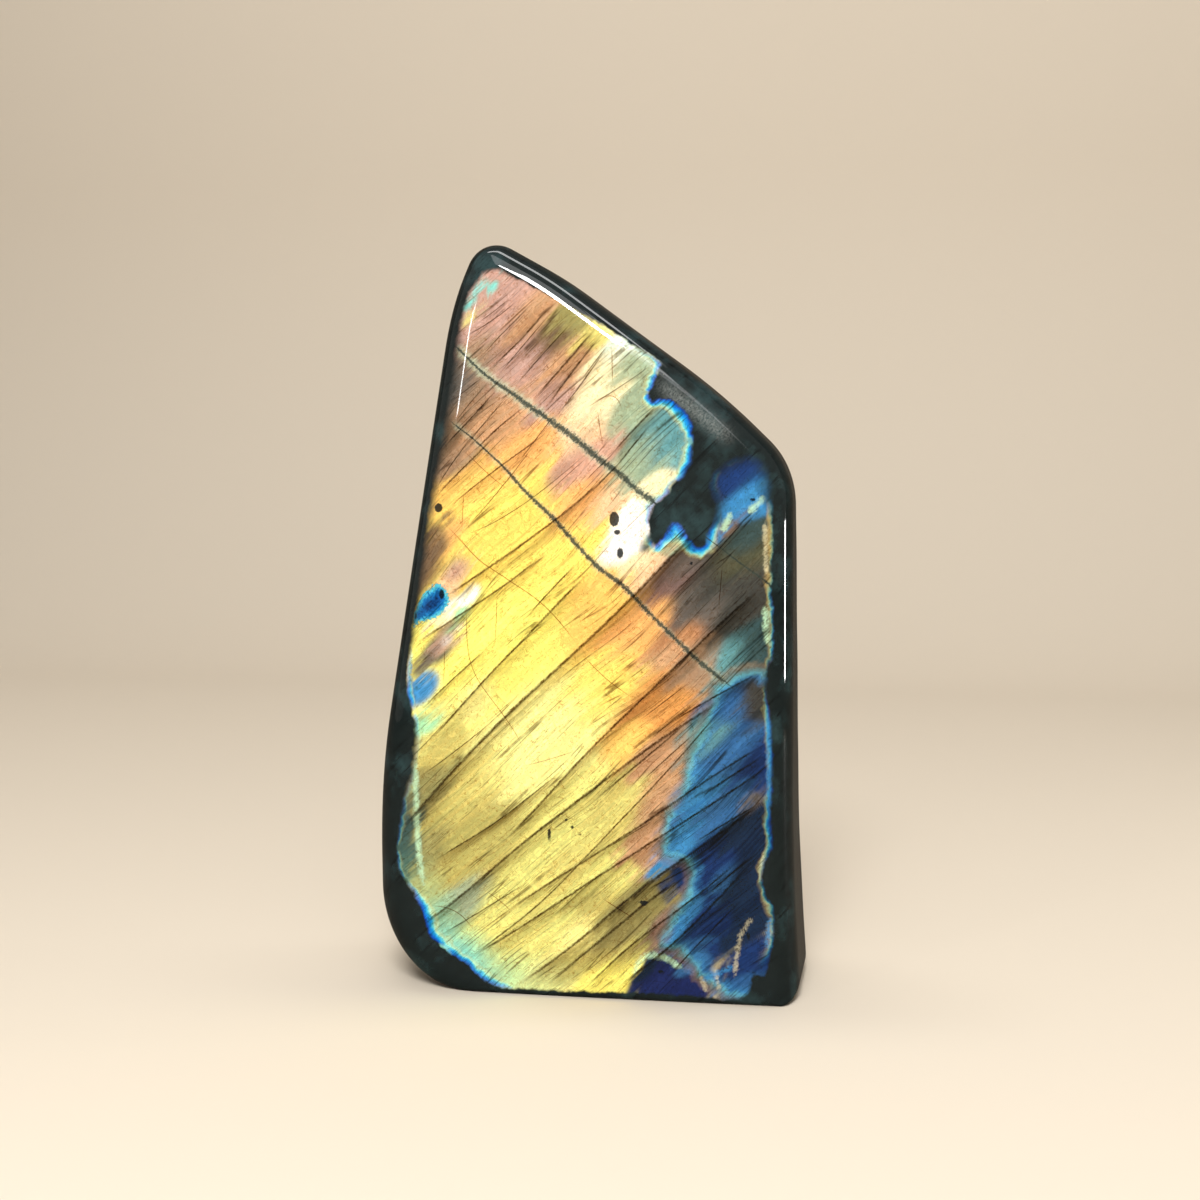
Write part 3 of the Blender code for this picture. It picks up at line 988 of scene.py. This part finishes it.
class Finish:
    # the nodes of a material, or of the world, under construction
    def __init__(self, owner):
        owner.use_nodes = True
        self.owner = owner
        self.tree = owner.node_tree
        self.tree.nodes.clear()

    def node(self, kind, settings, inputs, output=0):
        # adds a node, applies its settings, then fills or links its sockets
        node = self.tree.nodes.new(kind)
        for name, value in settings.items():
            if name == "stops":
                self.setStops(node.color_ramp, value)
            else:
                setattr(node, name, value)
        for name, value in inputs.items():
            if isinstance(value, Wire):
                self.tree.links.new(value.socket, node.inputs[name])
            else:
                node.inputs[name].default_value = value
        return Wire(self, node.outputs[output]) if node.outputs else node

    def setStops(self, ramp, stops):
        # stops are place and sRGB colour
        while len(ramp.elements) < len(stops):
            ramp.elements.new(1.0)
        for element, (place, colour) in zip(ramp.elements, stops):
            element.position = place
            element.color = rgb(colour)

    def ramp(self, value, low, high, stops):
        # colour ramp whose stops are spread from a low value to a high one
        place = self.node("ShaderNodeMapRange", {}, sockets(value, low, high))
        return self.node("ShaderNodeValToRGB", {"stops": stops}, {0: place})

    def combine(self, x, y, z=0.0):
        # vector of three numbers
        return self.node("ShaderNodeCombineXYZ", {}, sockets(x, y, z))

    def vector(self, operation, first, second=None):
        # a Vector Math node on one or two vectors
        return self.node("ShaderNodeVectorMath", {"operation": operation}, sockets(first, second))

    def smooth(self, value, low, high):
        # smooth step from 0 at low to 1 at high
        settings = {"interpolation_type": "SMOOTHSTEP"}
        return self.node("ShaderNodeMapRange", settings, sockets(value, low, high))

    def fade(self, value, low, high):
        # smooth step from 1 at low to 0 at high
        return 1.0 - self.smooth(value, low, high)

    def mix(self, factor, first, second, blend="MIX"):
        # colours mixed by a factor
        settings = {"data_type": "RGBA", "blend_type": blend}
        return self.node("ShaderNodeMix", settings, {0: factor, 6: first, 7: second}, 2)

    def noise(self, place, name, kind="3D"):
        # one of the weave's fractal noises round 0.5, in space or in a plane
        scale, detail, roughness, distortion = weave[name]
        inputs = {"Vector": place, "Scale": scale, "Detail": detail, "Roughness": roughness,
                  "Distortion": distortion}
        return self.node("ShaderNodeTexNoise", {"noise_dimensions": kind}, inputs)

    def attribute(self, name, output):
        # what is stored on the mesh: output 1 as a vector, 2 as a number
        return self.node("ShaderNodeAttribute", {"attribute_name": name}, {}, output)

    def parts(self, vector):
        # the three numbers of a vector
        split = self.node("ShaderNodeSeparateXYZ", {}, {0: vector})
        return [Wire(self, socket) for socket in split.socket.node.outputs]

    def lines(self, prefix, count, wander):
        # darkest of all the lines: 1 in the middle of a line, a half at its sides, 0 beyond,
        # times each line's strength
        coreFrom, coreTo = look["lineCore"]
        darkest = None
        for i in range(math.ceil(count / 3)):
            away = self.vector("ADD", self.attribute(prefix + "Away" + str(i), 1), wander)
            away = self.vector("ABSOLUTE", away)
            core = self.node(
                "ShaderNodeMapRange", {"data_type": "FLOAT_VECTOR", "interpolation_type": "SMOOTHSTEP"},
                {6: away, 7: (coreFrom,) * 3, 8: (coreTo,) * 3, 9: (1.0,) * 3, 10: (0.0,) * 3}, 1,
            )
            core = self.vector("MULTIPLY", core, self.attribute(prefix + "Strength" + str(i), 1))
            darkest = core if darkest is None else self.vector("MAXIMUM", darkest, core)
        x, y, z = self.parts(darkest)
        return x.most(y).most(z)


look = {
    "sway": 7.0,  # mm by which the streaks bend from side to side
    "stretch": (0.035, 0.25),  # the long noise's pace along and into the streaks
    "silkStretch": 0.7,
    "mosaicScale": 0.36,
    "mosaicBend": (3.0, 1.6),  # mm by which the silk moves the patches of the mosaic
    "ragged": (3.4, 0.8),  # mm by which noise and fibres move an edge
    "lineCore": (0.3, 1.7),  # half widths over which a streak or a crack fades to its sides
    "body": (26, 34, 34),
    "bodyCloud": (48, 70, 72),
    "bodyDark": (9, 12, 12),
    # pale grey of the painted reflection on the slant
    "paintedReflection": (128, 134, 132),
    "vein": (50, 60, 54),
    "veinSide": (182, 194, 166),
    # what each of these leaves of the light, channel by channel
    "streak": (0.12, 0.075, 0.03, 1.0),
    "shade": (0.36, 0.28, 0.18, 1.0),
    "crack": (0.4, 0.2, 0.08, 1.0),
    "crease": (0.5, 0.34, 0.16, 1.0),
    "blueShade": (0.26, 0.3, 0.38, 1.0),
    "warmBand": (1.04, 0.96, 0.9, 1.0),
    "coolBand": (0.98, 1.02, 1.03, 1.0),
    # where the flash turns from gold to blue, over these mm: tan, grey, pale cyan, azure
    "borderSpan": (-3.0, 4.5),
    "border": [
        (0.0, (206, 172, 120)), (0.2, (176, 142, 104)), (0.32, (120, 112, 98)),
        (0.42, (98, 134, 136)), (0.5, (96, 172, 190)), (0.62, (60, 134, 188)), (1.0, (46, 100, 154)),
    ],
    # the coloured rim, over these widths of it
    "rimSpan": (-0.6, 2.4),
    "rim": [
        (0.0, (8, 12, 24)), (0.12, (10, 30, 96)), (0.24, (12, 84, 190)), (0.38, (22, 148, 222)),
        (0.48, (90, 206, 222)), (0.56, (178, 230, 200)), (0.66, (206, 214, 150)), (0.8, (206, 180, 112)),
        (1.0, (196, 170, 110)),
    ],
    # the blue spot at the left edge, over these mm, dark in its middle
    "spotSpan": (-0.4, 3.0),
    "spot": [
        (0.0, (20, 60, 90)), (0.12, (90, 196, 210)), (0.2, (70, 180, 214)), (0.34, (26, 116, 184)),
        (0.6, (20, 70, 132)), (0.85, (12, 34, 66)), (1.0, (10, 20, 36)),
    ],
}

# Noise in the stone: scale per mm, detail, roughness, distortion.
weave = {
    "sway": (0.03, 1.0, 0.5, 0.0),
    "bands": (0.28, 2.0, 0.6, 0.0),
    "fibres": (1.1, 3.0, 0.65, 0.0),
    "hairs": (2.9, 2.0, 0.6, 0.0),
    "cloud": (0.12, 3.0, 0.6, 0.0),
    "silk": (0.8, 3.0, 0.62, 0.7),
    "silkFine": (2.6, 2.0, 0.66, 0.0),
    "patchy": (0.2, 2.0, 0.5, 0.0),
    "ragged": (0.5, 3.0, 0.6, 0.0),
}


def stoneGrain(finish):
    # the noises that the finish reads, on places in mm along, into and across the streaks
    place = finish.node("ShaderNodeTexCoord", {}, {}, 3)
    turned = finish.node("ShaderNodeMapping", {"vector_type": "POINT"}, {
        "Vector": place, "Rotation": (0.0, streakTurn, 0.0), "Scale": (1.0 / mm,) * 3
    })
    along, inwards, across = finish.parts(turned)
    across = across + finish.noise(turned, "sway") * look["sway"]

    # long noise along the streaks
    pace, inwardPace = look["stretch"]
    stretched = finish.combine(along * pace, inwards * inwardPace, across)
    bands = finish.noise(stretched, "bands")
    fibres = finish.noise(stretched, "fibres")
    hairs = finish.noise(stretched, "hairs")
    threads = finish.fade(abs(fibres - 0.5), 0.0, 0.018) * finish.smooth(bands, 0.43, 0.56)

    # crumpled silk, and the thin creases where it crosses its middle value
    silkPlace = finish.combine(along * look["silkStretch"], across)
    silk = finish.noise(silkPlace, "silk", "2D")
    silkFine = finish.noise(silkPlace, "silkFine", "2D")
    crease = finish.fade(abs(silk - 0.5), 0.0, 0.034) * finish.smooth(silkFine, 0.4, 0.54)

    # healed cracks between the patches of a mosaic, and streaks between bands, only here and there
    facePlace = finish.combine(along, across)
    patchy = finish.noise(facePlace, "patchy", "2D")
    bend, fineBend = look["mosaicBend"]
    bent = finish.combine(along + silk * bend, across + silkFine * fineBend)
    mosaic = finish.node(
        "ShaderNodeTexVoronoi", {"feature": "DISTANCE_TO_EDGE", "voronoi_dimensions": "2D"},
        {"Vector": bent, "Scale": look["mosaicScale"]})
    here = finish.smooth(patchy + (silk - 0.5) * 1.2, 0.46, 0.62)
    sheets = finish.fade(abs(bands - 0.48), 0.0, 0.016) * finish.smooth(patchy, 0.32, 0.6)

    byNoise, byFibres = look["ragged"]
    return SimpleNamespace(
        bands=bands,
        bandSwing=bands - 0.5,
        fibres=fibres,
        fibreSwing=fibres - 0.5,
        hairs=hairs,
        threads=threads,
        silkSwing=silk - 0.5,
        silkFine=silkFine,
        fineSwing=silkFine - 0.5,
        crease=crease,
        speckle=finish.smooth(silkFine, 0.56, 0.7),
        patchy=patchy,
        mosaic=finish.fade(mosaic, 0.0, 0.05) * here,
        sheets=sheets,
        ragged=(finish.noise(facePlace, "ragged", "2D") - 0.5) * byNoise + (fibres - 0.5) * byFibres,
        cloud=finish.smooth(finish.noise(turned, "cloud"), 0.45, 0.72),
    )


def flashZones(finish, grain, edge, rimStrength, rimWidth):
    # colour of the flash, picked a little up or down the streaks band by band
    pick = finish.smooth(grain.bands + grain.fibreSwing * 0.5, 0.36, 0.64)
    colour = finish.mix(pick, finish.attribute("colourAhead", 1), finish.attribute("colourBehind", 1))
    warm = finish.mix(finish.smooth(grain.fibres, 0.35, 0.65), look["warmBand"], look["coolBand"])
    colour = finish.mix(0.8, colour, warm, "MULTIPLY")

    # the border of the blue field, and its dark streaks
    inField = finish.attribute("blueEdge", 2) + grain.ragged * 0.5 + grain.bandSwing * 3.5
    border = finish.ramp(inField, *look["borderSpan"], look["border"])
    nearBorder = finish.smooth(inField, -2.2, 0.0) * finish.fade(inField, 1.2, 3.6)
    colour = finish.mix(nearBorder * (0.1 + grain.patchy * 1.1), colour, border)
    dark = finish.smooth(grain.fibres, 0.46, 0.62) * 0.45 + finish.smooth(grain.bands, 0.5, 0.62) * 0.3
    dark = finish.smooth(inField, 0.3, 2.6) * dark
    colour = finish.mix(dark, colour, look["blueShade"], "MULTIPLY")

    # the coloured rim, wider and narrower by turns, without its blue where the edge is warm
    rimPlace = edge / (rimWidth * (0.1 + 1.8 * grain.patchy))
    rim = finish.ramp(rimPlace + finish.attribute("rimWarmth", 2), *look["rimSpan"], look["rim"])
    share = rimStrength * finish.fade(rimPlace, 0.6, 2.0) * finish.smooth(grain.patchy, 0.3, 0.44)
    return finish.mix(share, colour, rim)


def flashMarks(finish, grain, colour, inSpot, pit):
    # soft coloured lines
    fray = grain.ragged * 0.3 + grain.fineSwing * 0.9
    glowAway = finish.parts(finish.attribute("glow", 1))
    for away, (hue, glow) in zip(glowAway, glows.items()):
        share = finish.fade(away + fray, 0.0, glow["halfWidth"]) * glow["strength"]
        colour = finish.mix(share, colour, rgb(hues[hue]))

    # the blue spot at the left edge
    inSpot = inSpot + grain.ragged * 0.4 + grain.fineSwing * 1.6
    spot = finish.ramp(inSpot, *look["spotSpan"], look["spot"])
    colour = finish.mix(finish.smooth(inSpot, -0.4, -0.05), colour, spot)

    # veins, frayed along the streaks that they cross
    cores = finish.parts(finish.attribute("veinCores", 1))
    sides = finish.parts(finish.attribute("veinSides", 1))
    for core, side, vein in zip(cores, sides, veins.values()):
        halo = finish.fade(side + grain.fibreSwing * 2.0, 0.2, 1.1) * vein["paleness"]
        colour = finish.mix(halo, colour, rgb(look["veinSide"]))
        frayed = abs(core) + grain.fibreSwing * 1.5 + grain.fineSwing * 2.6
        colour = finish.mix(finish.fade(frayed, 0.35, 1.5) * 0.92, colour, rgb(look["vein"]))

    # streaks and cracks, each of which leaves a part of the light
    wobble = grain.silkSwing * 1.2 + grain.fineSwing * 1.6
    wander = finish.combine(wobble, wobble, wobble)
    streak = finish.lines("streak", len(streaks), wander) * (0.86 + grain.silkSwing)
    shade = finish.attribute("streakShade", 2) * (0.9 + grain.fibreSwing * 2.4)
    fine = finish.smooth(grain.fibres, 0.56, 0.7) * 0.24 + finish.smooth(grain.hairs, 0.57, 0.7) * 0.2
    for share, left in (
        (shade * 0.62, "shade"),
        (fine, "shade"),
        ((grain.threads * 0.6).most(grain.sheets * 0.75), "streak"),
        (streak, "streak"),
        (finish.lines("crack", len(cracks), wander), "crack"),
        (grain.mosaic * 0.6, "crack"),
        (grain.crease * 0.62 + grain.speckle * 0.3, "crease"),
    ):
        colour = finish.mix(share, colour, look[left], "MULTIPLY")
    tone = 1.16 + grain.bandSwing * 0.8 + grain.silkSwing * 0.7 + grain.fineSwing * 0.6
    tone = finish.node("ShaderNodeCombineColor", {}, {0: tone, 1: tone, 2: tone})
    colour = finish.mix(1.0, colour, tone, "MULTIPLY")

    # black pits and grains
    pit = pit + grain.fineSwing * 0.35
    return finish.mix(finish.fade(pit, -0.04, 0.18) * 0.95, colour, rgb(hues["ink"]))


def stoneBody(finish, grain, inReflection):
    # the dark body round the flash: clouds, dark fibres and threads, and the painted reflection on the slant
    body = finish.mix(grain.cloud * 0.8, rgb(look["body"]), rgb(look["bodyCloud"]))
    body = finish.mix(finish.smooth(grain.fibres, 0.54, 0.7) * 0.7, body, rgb(look["bodyDark"]))
    body = finish.mix(grain.threads * 0.5 + grain.speckle * 0.25, body, rgb(look["bodyDark"]))
    # the painted reflection, patchy with the fine silk
    return finish.mix(inReflection * (0.15 + (grain.silkFine - 0.3) * 1.6), body, rgb(look["paintedReflection"]))


def stoneFinish():
    # the flash, dead outside its edge and where the surface turns away, over the body, under the polish
    finish = Finish(bpy.data.materials.new("polishedLabradorite"))
    grain = stoneGrain(finish)
    edge, rimStrength, rimWidth = finish.parts(finish.attribute("edge", 1))
    # the third value is the share of the painted reflection on the slant
    pit, inSpot, inReflection = finish.parts(finish.attribute("marks", 1))
    edge = edge + grain.ragged * 0.34
    flash = flashZones(finish, grain, edge, rimStrength, rimWidth)
    flash = flashMarks(finish, grain, flash, inSpot, pit)
    seen = finish.smooth(edge, -0.45, finish.attribute("fadeIn", 2) + 0.15)
    seen = seen * finish.smooth(finish.attribute("facing", 2), 0.18, 0.75)
    shader = finish.node("ShaderNodeBsdfPrincipled", {}, {
        "Base Color": finish.mix(seen, stoneBody(finish, grain, inReflection), flash),
        "Roughness": 0.3,
        "Specular IOR Level": 0.0,
        "Coat Weight": 1.0,
        "Coat Roughness": 0.03,
        "Coat IOR": 1.56,
    })
    finish.node("ShaderNodeOutputMaterial", {}, {0: shader})
    return finish.owner


stoneMesh.materials.append(stoneFinish())
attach(stone, "root")
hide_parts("stone")
print("stone finished")


stage = {
    "sweepHalfWidth": 1.6,
    "front": -1.4,
    "bend": 0.5,  # where the floor starts to rise
    "radius": 0.3,
    "top": 1.8,
    "colour": (228, 216, 198),
    "reflected": (84, 76, 66),  # the sweep as the stone's polish mirrors it
    "worldColour": (240, 232, 220),
    "worldStrength": 0.2,  # on the stone and the sweep
    "worldSeen": 0.85,  # straight from the camera
}


def addSweep():
    # floor that turns up into the backdrop: straight, a quarter circle, straight
    turn = np.linspace(0.0, 0.5 * np.pi, 24)
    backdrop = stage["bend"] + stage["radius"]
    y = np.concatenate([[stage["front"]], stage["bend"] + stage["radius"] * np.sin(turn), [backdrop]])
    z = np.concatenate([[0.0], stage["radius"] * (1.0 - np.cos(turn)), [stage["top"]]])
    x = np.array([-stage["sweepHalfWidth"], stage["sweepHalfWidth"]])
    points = np.stack([np.tile(x, len(y)), np.repeat(y, 2), np.repeat(z, 2)], axis=1)
    start = 2 * np.arange(len(y) - 1)
    quads = np.stack([start, start + 1, start + 3, start + 2], axis=1)
    data = makeMesh("backdrop", points, quads, np.zeros((0, 3), int))[0]
    finish = Finish(bpy.data.materials.new("paleBackdrop"))
    mirrored = finish.node("ShaderNodeLightPath", {}, {}, "Is Glossy Ray")
    shader = finish.node("ShaderNodeBsdfPrincipled", {}, {
        "Base Color": finish.mix(mirrored, rgb(stage["colour"]), rgb(stage["reflected"])),
        "Roughness": 0.8,
        "Specular IOR Level": 0.2,
    })
    finish.node("ShaderNodeOutputMaterial", {}, {0: shader})
    data.materials.append(finish.owner)
    addObject("backdrop", data)


# Soft lights: place, the point they look at, width, height, roll in degrees and power.
lamps = {
    "overCamera": ((0.0447, -0.54, 0.4783), (0.005, -0.02, 0.13), 0.128, 0.2, -36.0, 3.55),
    "slopeGlow": ((0.21, -0.305, 0.555), (0.02, -0.018, 0.125), 0.04, 0.24, -36.0, 0.1),
    "soft": ((0.1, -1.0, 1.1), (0.0, 0.0, 0.07), 0.9, 0.9, 0.0, 4.9),
    "backdropLight": ((0.0, 0.1, 1.3), (0.0, 0.8, 0.3), 1.2, 0.3, 0.0, 7.0),
    "leftStrip": ((-0.2, -0.402, 0.177), (-0.028, -0.02, 0.13), 0.028, 0.06, 0.0, 0.12),
    "rightStrip": ((0.417, 0.12, 0.055), (0.041, -0.012, 0.08), 0.034, 0.068, 0.0, 0.28),
}


def addLamp(name, place, target, width, height, roll, power):
    # rectangular soft light facing its target, rolled about the line to it
    data = bpy.data.lights.new(name, "AREA")
    data.shape = "RECTANGLE"
    data.size = width
    data.size_y = height
    data.energy = power
    lamp = addObject(name, data)
    lamp.visible_camera = False
    backward = unit(np.array(place) - np.array(target))
    level = unit(np.cross([0.0, 0.0, 1.0], backward))
    turn = math.radians(roll)
    right = level * math.cos(turn) + np.cross(backward, level) * math.sin(turn)
    setPlace(lamp, right, np.cross(backward, right), backward, np.array(place))


def addWorld():
    # even pale surroundings, brighter when seen straight from the camera than on the stone
    world = bpy.data.worlds.new("studio")
    finish = Finish(world)
    seen = finish.node("ShaderNodeLightPath", {}, {}, "Is Camera Ray")
    strength = stage["worldStrength"] + seen * (stage["worldSeen"] - stage["worldStrength"])
    background = finish.node(
        "ShaderNodeBackground", {}, {"Color": rgb(stage["worldColour"]), "Strength": strength})
    finish.node("ShaderNodeOutputWorld", {}, {0: background})
    bpy.context.scene.world = world


addSweep()
for name, values in lamps.items():
    addLamp(name, *values)
addWorld()
bpy.context.scene.view_settings.view_transform = "Standard"
print("stage and lights in place")
